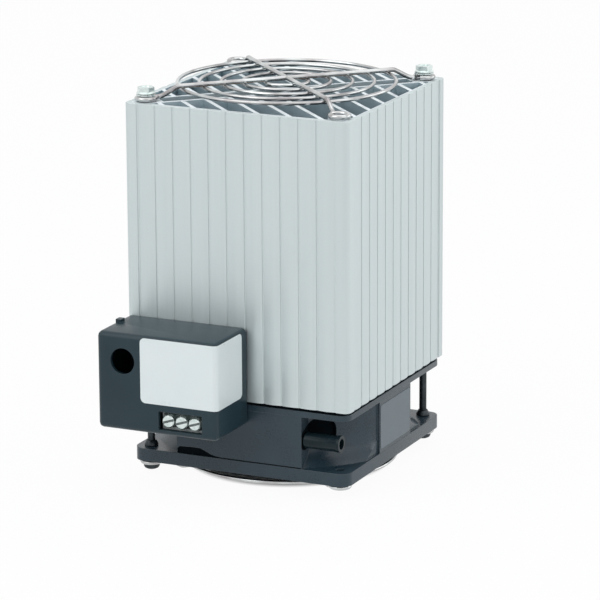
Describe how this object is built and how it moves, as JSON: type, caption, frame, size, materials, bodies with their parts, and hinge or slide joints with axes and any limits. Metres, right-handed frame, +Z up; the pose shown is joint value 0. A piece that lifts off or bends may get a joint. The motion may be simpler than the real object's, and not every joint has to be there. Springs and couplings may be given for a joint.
{
  "type": "enclosure heater",
  "caption": "Fan heater for control cabinets: ribbed aluminium extrusion on an axial fan, wire guards at both ends and a terminal box on one side.",
  "frame": {"origin": "middle of the underside of the whole heater, level with the lowest wire of the bottom guard", "axes": "+Z up along the fan axis and the extrusion, +X along the face that carries the terminal box, from the box towards the free front corner, -Y out of that face"},
  "size_m": [0.1214, 0.1554, 0.1991],
  "materials": {
    "extruded_aluminium": "plain mill-finish extrusion with fine lengthwise die lines, satin",
    "plated_wire": "bright plated round wire",
    "zinc_plated_steel": "pale bluish zinc plating, slightly uneven",
    "blackened_steel": "blackened steel, satin",
    "cast_black": "cast frame under a dark blue-grey satin coat",
    "rotor_black": "black moulded plastic, satin",
    "winding": "varnished copper and sheet steel",
    "bearing_steel": "ground steel",
    "element_film": "amber insulating film round the element",
    "box_plastic": "dark slate plastic with a fine moulded grain",
    "pale_plastic": "pale grey plastic"
  },
  "bodies": {
    "casing": {"heatsink_extrusion": "extruded_aluminium", "heating_element_left": "element_film", "heating_element_right": "element_film", "fan_housing": "cast_black", "fan_terminal_plug": "rotor_black", "fan_bearing_lower": "bearing_steel", "fan_bearing_upper": "bearing_steel", "fan_stator": "winding", "guard_top": "plated_wire", "guard_bottom": "plated_wire", "top_screw_left": "zinc_plated_steel", "top_screw_right": "zinc_plated_steel", "top_washer_left": "zinc_plated_steel", "top_washer_right": "zinc_plated_steel", "bottom_screw_left": "blackened_steel", "bottom_screw_right": "blackened_steel", "screw_collar_left": "blackened_steel", "screw_collar_right": "blackened_steel", "terminal_box_cover": "box_plastic", "terminal_box_base": "box_plastic", "terminal_block": "pale_plastic", "terminal_screw_1": "zinc_plated_steel", "terminal_screw_2": "zinc_plated_steel", "terminal_screw_3": "zinc_plated_steel"},
    "rotor": {"fan_impeller": "rotor_black", "fan_shaft": "bearing_steel"}
  },
  "joints": [
    {"name": "fan_spin", "type": "hinge", "parent": "casing", "child": "rotor", "pos_m": [0, 0.01705, 0.0254], "axis": [0, 0, 1], "continuous": true}
  ]
}
